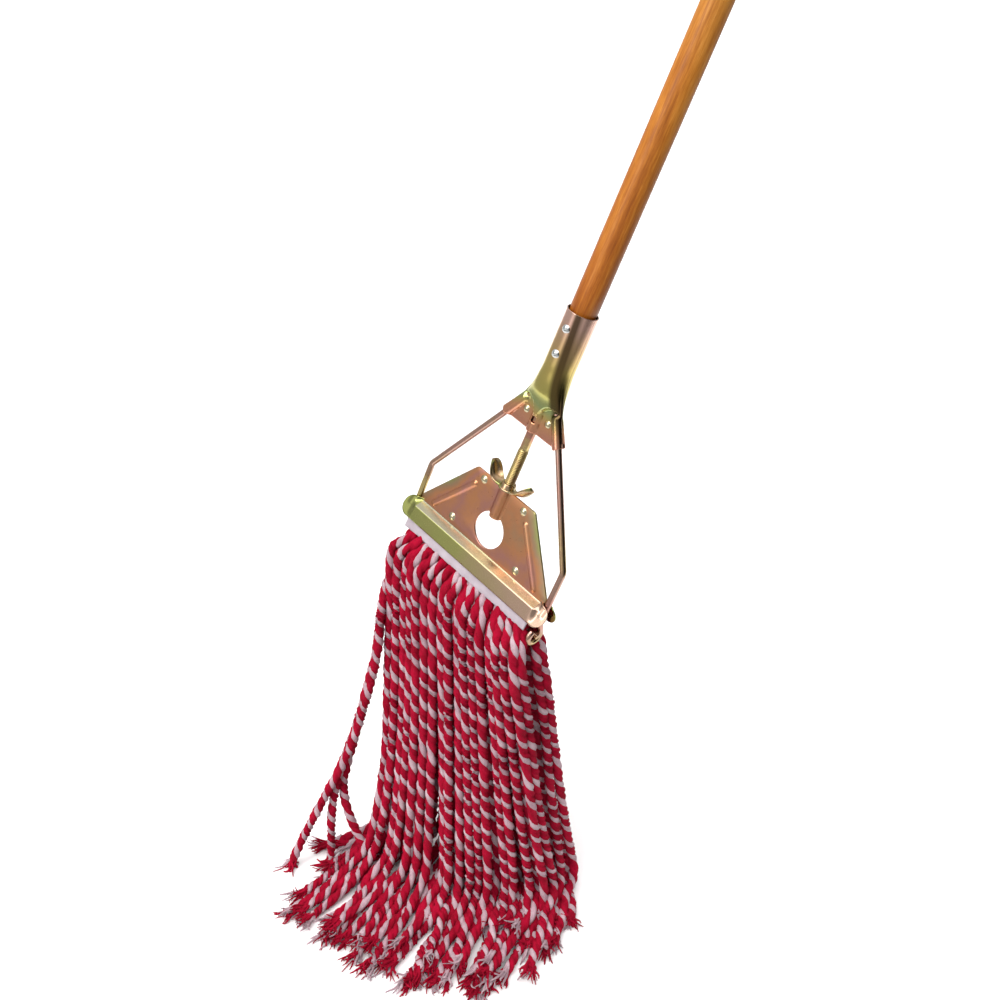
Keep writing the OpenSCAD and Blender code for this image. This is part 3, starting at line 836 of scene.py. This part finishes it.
def jaw_sheet():
    """The jaw's lip: raised facet, deep lip and an eared end on both sides."""
    # close together where the ear curves, wide apart along the straight lip
    ear_xs = np.array([78.5, 79.2, 80, 81, 82, 83, 84.2, 85.4, 86.5, 87.6, 89, 90.8, 92.4, 93.6, 94.3, 94.6])
    xs = np.r_[-ear_xs[::-1], np.linspace(-76, 76, 15), ear_xs]
    ks = np.r_[np.linspace(0, 0.09, 4), np.linspace(0.1, 0.34, 14)[1:], np.linspace(0.36, 1, 12)]
    pts = []
    for x in xs:
        ax = abs(x)
        swell = math.sqrt(max(0.0, 94.1 - max(0.0, ax - 85) ** 2))
        top = 2.0 if ax < 85 else swell - 8.1
        foot = -18.0 if ax < 85 else -swell - 8.3
        z = top + (foot - top) * ks
        mid = np.interp(z, BEND, OFF)
        ear = WIRE_R + 0.17 + 0.45 * np.maximum(0, -z)
        # the hood over the wire's end
        hood = 0.7 * smooth01((4.0 - abs(ax - 86.5)) / 1.6) * smooth01((z + 9.5) / 4)
        edge = smooth01((ax - 79) / 6)
        off = mid * (1 - edge) + (ear + hood) * edge
        pts.append(np.stack([np.full(len(z), x), -GAP - 0.04 - off - SHEET * 0.95, z], 1))
    return np.vstack(pts), grid_faces(len(xs), len(ks), False)


plate_pts, plate_faces = plate_sheet()
jaw_pts, jaw_faces = jaw_sheet()
for back in (False, True):
    side = "back" if back else "front"
    node = f"clamp_plate_{side}"
    metal(f"clamp_face_{side}", turned_about(plate_pts, back), plate_faces, MAT_PLATE, "jaw_plate", node, 30)
    lip = metal(f"jaw_lip_{side}", turned_about(jaw_pts, back), jaw_faces, MAT_FACET, "jaw_plate", node, 26,
                SHEET * 0.95, jaw_pts[:, [0, 2]] / 100)
    lip.data.materials.append(MAT_LIP_PAINTED_SHADE)
    # faces below the facet's lower bend and at the ears take the lip's darker ramp, its painted shade
    low = [int(jaw_pts[list(f), 2].mean() < -4.4 or abs(jaw_pts[list(f), 0].mean()) > 79) for f in jaw_faces]
    lip.data.polygons.foreach_set("material_index", np.array(low, np.int32))


def dome_profile(r, h, flange=0.0):
    """Profile of a round head of radius r and height h, with a short skirt into the sheet."""
    ball = (r * r + h * h) / (2 * h)
    full = math.asin(r / ball)
    prof = [(ball * math.sin(a), h - ball + ball * math.cos(a)) for a in np.linspace(0.001, full, 12)]
    return prof + [(r + flange, 0.0), (r + flange, -0.6)]


def rivets(name, places, face, r, h, body, node):
    """Round heads on both sides of a pair of sheets."""
    parts = [lathe(dome_profile(r, h, 0.15), 28, (x, s * face, z), (0, s, 0))
             for x, z in places for s in (-1, 1)]
    metal(name, *join(parts), MAT_RIVET, body, node, 50)


rivets("plate_rivet_heads", [(s * x, z) for s in (-1, 1) for x, z in ((25.5, 59.8), (42.5, 7.7))],
       SHEET + 2 * GAP, 3.75, 1.7, "jaw_plate", "plate_rivets")
rivets("socket_rivet_heads", [(s * SOCKET_RIVET[0], SOCKET_RIVET[1]) for s in (-1, 1)],
       SOCKET_T + 2 * GAP, 4.0, 2.0, "frame", "socket_rivets")


def wire_object(name, path, body, node):
    """A bent wire with its cut end rounded off."""
    path = np.array(path, float)
    radius = np.r_[np.full(len(path), WIRE_R), WIRE_R - 0.5]
    path = np.vstack([path, path[-1] + (path[-1] - path[-2]) / np.linalg.norm(path[-1] - path[-2]) * 0.4])
    v, f = tube(path, radius, 24)
    metal(name, v, f, MAT_WIRE, body, node, 50)


LEG, DROP = 86.5, 30.0
WIRE_ROOT = (16.4, 153.66)
root_l, root_r, bend_z = (-WIRE_ROOT[0], 0, WIRE_ROOT[1]), (WIRE_ROOT[0], 0, WIRE_ROOT[1]), 37
wire_object("left_wire", [root_l] + corner(root_l, (-LEG, 0, bend_z), (-LEG, 0, 0), 10, 12)
            + corner((-LEG, 0, 20), (-LEG, 0, -DROP), (0, 0, -DROP), 6, 14) + [(LEG + 4.1, 0, -DROP)],
            "frame", "left_bail_wire")
eye = 2 * WIRE_R + 1.64
wire_object("right_wire", [root_r] + corner(root_r, (LEG, 0, bend_z), (LEG, 0, 0), 10, 12)
            + [(LEG, 0, -9), (LEG, 0.1, -13), (LEG, 0.9, -18)]
            + [(LEG, eye * math.cos(a), -DROP - 1.5 + eye * math.sin(a))
               for a in np.radians(46 - np.arange(0, 269, 9.6))],
            "latch_wire", "right_bail_wire")


def rod_parts():
    """The rod: smooth shank inside the socket, a rolled thread below it."""
    pitch, turns_from, turns_to, sides = 1.5875, 41.0, 109.0, 40
    shank = lathe([(SHANK_R, 189.9), (SHANK_R, 178), (5.5, 177), (5.5, 171), (SHANK_R, 170), (SHANK_R, 110.5),
                   (SHANK_R - 0.3, turns_to - 1)], sides, (0, 0, 0), (0, 0, 1))
    zs = np.arange(turns_from, turns_to, pitch / 8)
    rows = []
    for z in zs:
        for j in range(sides):
            a = 2 * math.pi * j / sides
            phase = ((z / pitch - j / sides) % 1.0)
            crest = abs(phase - 0.5) * 2
            depth = 0.92 * min(1.0, max(0.0, (crest - 0.16) / 0.7))
            depth += (0.52 - depth) * max(0.0, 1 - (turns_to - z) / 3)
            rows.append(((ROD_R - depth) * math.cos(a), (ROD_R - depth) * math.sin(a), z))
    thread = (np.array(rows), grid_faces(len(zs), sides, True))
    foot = lathe([(0.01, 40), (ROD_R - 1.0, 40), (ROD_R - 0.9, 40.6), (ROD_R - 0.9, turns_from)],
                 sides, (0, 0, 0), (0, 0, 1))
    return shank, thread, foot


shank, thread, foot = rod_parts()
metal("rod_shank", *shank, MAT_ROD, "frame", "threaded_rod", 40)
metal("rod_thread", *join([thread, foot]), MAT_THREAD, "frame", "threaded_rod", 60)


def nut_parts():
    """Pressed wing nut: a collared washer and two broad curled wings."""
    base = PLATE_TOP + 0.05
    collar = lathe([(ROD_R + 0.06, 0), (7.8, 0), (8.3, 0.4), (8.3, 1.4), (7.9, 1.9), (7.2, 2.1),
                    (6.9, 3.0), (6.6, 6.0), (6.2, 6.45), (ROD_R + 0.25, 6.4), (ROD_R + 0.06, 6.0),
                    (ROD_R + 0.06, 0)], 48, (0, 0, base), (0, 0, 1))
    parts = [collar]
    for turn in (0, math.pi):
        rows = []
        us = (-1, -0.93, -0.6, -0.2, 0.2, 0.6, 0.93, 1)
        for s in np.linspace(0, 1, 30):
            x = 5.6 + 19 * s
            k = (x - 4.6) / 20
            out = min(1.0, max(0.0, (x - 6) / 19))
            rise, slope = 1 + 16.2 * out ** 2.1, 34.02 / 19 * out ** 1.1
            if x > 18.6:
                half = math.sqrt(max(0.04, 38.4 - (x - 18.6) ** 2))
            else:
                half = 5 + 1.2 * float(smooth01((x - 4.6) / 14))
            twist = 0.52 * float(smooth01((k - 0.1) * 1.6))
            for u, face in [(u, 1) for u in us] + [(u, -1) for u in us[::-1]]:
                cup = 2.8 * (1 - u * u) * float(smooth01((k - 0.15) * 1.8))
                off = face * 0.9 * (0.5 if abs(u) == 1 else 1) - cup
                px = x - 0.75 - off * slope / math.hypot(slope, 1)
                y = u * half
                pz = max(0.1, rise + off / math.hypot(slope, 1) - twist * y)
                rows.append((px * math.cos(turn) - y * math.sin(turn),
                             px * math.sin(turn) + y * math.cos(turn), base + pz))
        faces = grid_faces(30, 16, True)
        faces.append(tuple(range(29 * 16, 30 * 16)))
        parts.append((rows, faces))
    return join(parts)


metal("wing_nut_body", *nut_parts(), MAT_NUT, "nut", "wing_nut", 38)


FOOT_HALF, FLARE_TOP, FLARE_LONG = 38, 192, 65


def socket_sheet():
    """One pressed half of the socket: round neck, scalloped shoulders, flat foot and three channels."""
    zs = np.r_[np.linspace(127, 131, 5), np.linspace(132, 166, 44), np.linspace(168, 196, 15),
               np.linspace(203, 240.6, 7), 241]
    angles = np.radians(np.r_[0, 2, 5, np.linspace(8, 172, 83), 175, 178, 180])
    wire_dir = np.array([31.4 - WIRE_ROOT[0], 128.7 - WIRE_ROOT[1]])
    wire_dir /= np.linalg.norm(wire_dir)
    pts, uvs = [], []
    for z in zs:
        u = np.cos(angles)
        # the channels end square to the wires
        flare = float(np.clip((FLARE_TOP - z) / FLARE_LONG, 0, 1)) ** 2
        reach = (SOCKET_R * (1 - flare) + FOOT_HALF * flare) * np.abs(u)
        zz = z + 0.6 * np.maximum(0, reach - 31) * (1 - float(smooth01((z - 127) / 10)))
        flare = np.clip((FLARE_TOP - zz) / FLARE_LONG, 0, 1) ** 2
        w = SOCKET_R * (1 - flare) + FOOT_HALF * flare
        rise = float(smooth01((z - 150) / 42))
        e = 0.5 * (1 - rise) + rise
        deep = SOCKET_T * (1 - rise) + SOCKET_R * rise
        x = w * u
        y = deep * np.clip(1 - np.abs(u) ** (2 / e), 0, 1) ** (e / 2)
        # the neck swells down to the foot between and beside the pockets round the rivets
        bulge = 5.6 * float(smooth01((z - 129) / 20)) * (1 - float(smooth01((z - 165) / 25)))
        y = y + bulge * np.clip(1 - (x / (w * 0.93)) ** 2, 0, 1) ** 0.7
        for m in (-1, 1):
            above = z - SOCKET_RIVET[1]
            d = np.hypot((x - m * (SOCKET_RIVET[0] + 1.2)) * 0.93, above * (0.74 if above > 0 else 0.2))
            pocket = 1 - smooth01((d - 10.2) / 1.7)
            y = y * (1 - pocket) + SOCKET_T * pocket
        rim = smooth01((w - np.abs(x)) / 1.2)
        y = np.minimum(y, np.where(rise > 0, y, SOCKET_T + (y - SOCKET_T) * rim))
        rod = np.sqrt(np.clip((SHANK_R + GAP + SOCKET_T) ** 2 - x ** 2, 0, None))
        y = soft_max(y, rod * (1 - float(smooth01((z - 160) / 8))), 0.7)
        for m in (-1, 1):
            off = np.stack([m * x - WIRE_ROOT[0], zz - WIRE_ROOT[1]], 1)
            along = off @ wire_dir
            across = np.abs(off[:, 0] * wire_dir[1] - off[:, 1] * wire_dir[0])
            r = WIRE_R + 0.1 + SOCKET_T + 0.03 * along
            pipe = np.sqrt(np.clip(r ** 2 - across ** 2, 0, None)) * smooth01((along + 1) / 5)
            inside = w - np.abs(x) > 0.02
            y = np.where(inside, soft_max(y, pipe, 0.5), np.minimum(y, SOCKET_T))
        y = np.where((angles < 1e-6) | (angles > math.pi - 1e-6), 0, y)
        pts.append(np.stack([x, -GAP - y, zz], 1))
        uvs.append(np.stack([u, zz / 100], 1))
    pts = np.array(pts).reshape(-1, 3)
    faces = []
    for f in grid_faces(len(zs), len(angles), False):
        p = pts[list(f)].mean(0)
        # slot over the rod
        if abs(p[0]) > 2.1 or not 135.6 < p[2] < 142.4:
            faces.append(f)
    return pts, faces, np.array(uvs).reshape(-1, 2)


socket_pts, socket_faces, socket_uvs = socket_sheet()
for back in (False, True):
    metal(f"socket_{'rear' if back else 'face'}", turned_about(socket_pts, back), socket_faces, MAT_SOCKET,
          "frame", f"socket_{'back' if back else 'front'}_shell", 48, 0.7, socket_uvs)

for node, material in (("handle_screws", MAT_SCREW), ("yarn_fold", MAT_RED)):
    o = frame["nodes"][node]
    o.data.materials.clear()
    o.data.materials.append(material)

# ---------------------------------------------------------------- headband
BAND_HALF, BAND_R, BAND_FOOT, BAND_SHOULDER = 81, 10.05, -26.9, -17.5


def band_parts():
    """The folded tape over the yarn's middle: an arch with rounded hems."""
    prof = [(-1, z) for z in np.linspace(BAND_FOOT, BAND_SHOULDER, 14)]
    prof += [(None, a) for a in np.linspace(180, 0, 22)[1:-1]]
    prof += [(1, z) for z in np.linspace(BAND_SHOULDER, BAND_FOOT, 14)]
    xs = np.linspace(-BAND_HALF, BAND_HALF, 90)
    rng = np.random.default_rng(3)
    wave = np.interp(xs, np.linspace(-BAND_HALF, BAND_HALF, 19), rng.uniform(-0.7, 0.7, 19))
    wave2 = np.interp(xs, np.linspace(-BAND_HALF, BAND_HALF, 23), rng.uniform(-0.5, 0.5, 23))
    rows, uvs = [], []
    for i, x in enumerate(xs):
        run, last = 0.0, None
        for s, v in prof:
            if s is None:
                a = math.radians(v)
                q = np.array([BAND_R * math.cos(a), BAND_SHOULDER + 1 + BAND_R * math.sin(a)])
            else:
                low = smooth01((BAND_SHOULDER - v) / 9.4)
                q = np.array([s * (BAND_R + 0.9 * low + 0.35 * wave2[i] * low),
                              v + wave[i] * low * (1 if s < 0 else 0.8)])
            run += 0 if last is None else float(np.linalg.norm(q - last))
            last = q
            rows.append((x, q[0], q[1]))
            uvs.append((x / 1000, run / 1000))
    return rows, grid_faces(len(xs), len(prof), False), uvs


band_pts, band_faces, band_uvs = band_parts()
tape = mesh_object("tape", to_row(band_pts), band_faces, [MAT_TAPE], band_uvs)
hem = tape.modifiers.new("thickness", "SOLIDIFY")
hem.thickness, hem.offset = 0.0011, -1
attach(tape, "frame")
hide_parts("headband")

stitch_parts = []
for side in (-1, 1):
    for z in (-20.6, -23.8):
        for x in np.arange(-79, 79, 3.2):
            low = float(smooth01((BAND_SHOULDER - z) / 9.4))
            y = side * (BAND_R + 0.9 * low + 0.12)
            stitch = [(x + u * 2.1, y + side * 0.22 * math.sin(math.pi * u), z) for u in np.linspace(0, 1, 5)]
            stitch_parts.append(tube(np.array(stitch), 0.26, 6))
stitch_pts, stitch_faces = join(stitch_parts)
stitches = mesh_object("stitches", to_row(stitch_pts), stitch_faces, [MAT_TAPE],
                       np.zeros((len(stitch_pts), 2)))
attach(stitches, "frame")

# ---------------------------------------------------------------- handle with grain
HANDLE_FOOT, HANDLE_TOP = 190.0, 1390.0


def build_handle():
    """The turned handle with its rounded top; its unwrapped length carries the grain."""
    prof = [(0.1, HANDLE_FOOT), (HANDLE_R - 1.7, HANDLE_FOOT), (HANDLE_R - 0.2, HANDLE_FOOT + 2)]
    prof += [(HANDLE_R - 0.2, z) for z in (215.0, 243.5)]
    prof += [(HANDLE_R, z) for z in np.linspace(244, HANDLE_TOP - 9, 60)]
    prof += [(HANDLE_R * math.cos(a), HANDLE_TOP - 9 + 9 * math.sin(a)) for a in np.linspace(0.15, 1.55, 10)]
    sides = 48
    verts, uvs = [], []
    for r, z in prof:
        for j in range(sides + 1):
            a = 2 * math.pi * j / sides
            verts.append(head(r * math.cos(a), r * math.sin(a), z))
            uvs.append((j / sides, (z - HANDLE_FOOT) / 1000))
    faces = grid_faces(len(prof), sides + 1, False)
    return mesh_object("wood_handle", verts, faces, [MAT_WOOD], uvs)


handle = build_handle()
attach(handle, "frame")
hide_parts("handle")

# ---------------------------------------------------------------- stage
floor_mat = Nodes("floor")
floor_mat.put(Base_Color=(0.93, 0.93, 0.93, 1), Roughness=1.0)
fx, fy = JAW[0], JAW[1]
fv = [(fx + x, fy + y, FLOOR_Z - 0.0006) for x, y in ((-0.66, -0.42), (0.66, -0.42), (4.8, 9.5), (-4.8, 9.5))]
floor = mesh_object("floor", fv, [(0, 1, 2, 3)], [floor_mat.mat], smooth=False)


def area(name, offset, size, power, colour=(1, 1, 1)):
    data = bpy.data.lights.new(name, "AREA")
    data.shape = "RECTANGLE"
    data.size, data.size_y = size
    data.energy = power
    data.color = colour
    o = bpy.data.objects.new(name, data)
    o.location = Vector(JAW) + Vector(offset)
    o.rotation_euler = (-Vector(offset)).to_track_quat("-Z", "Y").to_euler()
    bpy.context.scene.collection.objects.link(o)


sun_data = bpy.data.lights.new("sun", "SUN")
sun_data.energy = 2.3
sun_data.angle = math.radians(60)
sun = bpy.data.objects.new("sun", sun_data)
sun.rotation_euler = Vector((0.12, 0.42, -0.98)).to_track_quat("-Z", "Y").to_euler()
bpy.context.scene.collection.objects.link(sun)
area("strip", (-1.2, -0.9, 1.0), (0.25, 1.4), 9, (1, 0.99, 0.96))

# a studio's worth of light and dark for the metal to mirror
world = bpy.data.worlds.new("world")
world.use_nodes = True
wt = world.node_tree
coords = wt.nodes.new("ShaderNodeTexCoord").outputs["Generated"]


def lobe(direction, start, stop):
    """1 near a direction and 0 away from it."""
    dot = wt.nodes.new("ShaderNodeVectorMath")
    dot.operation = "DOT_PRODUCT"
    wt.links.new(coords, dot.inputs[0])
    dot.inputs[1].default_value = Vector(direction).normalized()
    ramp = wt.nodes.new("ShaderNodeMapRange")
    ramp.interpolation_type = "SMOOTHSTEP"
    ramp.inputs["From Min"].default_value = start
    ramp.inputs["From Max"].default_value = stop
    wt.links.new(dot.outputs["Value"], ramp.inputs["Value"])
    return ramp.outputs["Result"]


def combine(op, a, b):
    n = wt.nodes.new("ShaderNodeMath")
    n.operation = op
    for i, v in enumerate((a, b)):
        if isinstance(v, (int, float)):
            n.inputs[i].default_value = v
        else:
            wt.links.new(v, n.inputs[i])
    return n.outputs[0]


level = combine("ADD", 0.56, combine("MULTIPLY", lobe((0, 0, 1), 0.45, 0.95), 0.75))
level = combine("ADD", level, combine("MULTIPLY", lobe((-0.75, -0.55, 0.35), 0.86, 0.97), 0.9))
level = combine("SUBTRACT", level, combine("MULTIPLY", lobe((0.80, -0.55, 0.12), 0.55, 0.93), 0.62))
level = combine("MAXIMUM", level, 0.02)
wt.links.new(level, wt.nodes["Background"].inputs["Strength"])
wt.nodes["Background"].inputs["Color"].default_value = (1, 1, 1, 1)
bpy.context.scene.world = world
bpy.context.scene.view_settings.view_transform = "Standard"
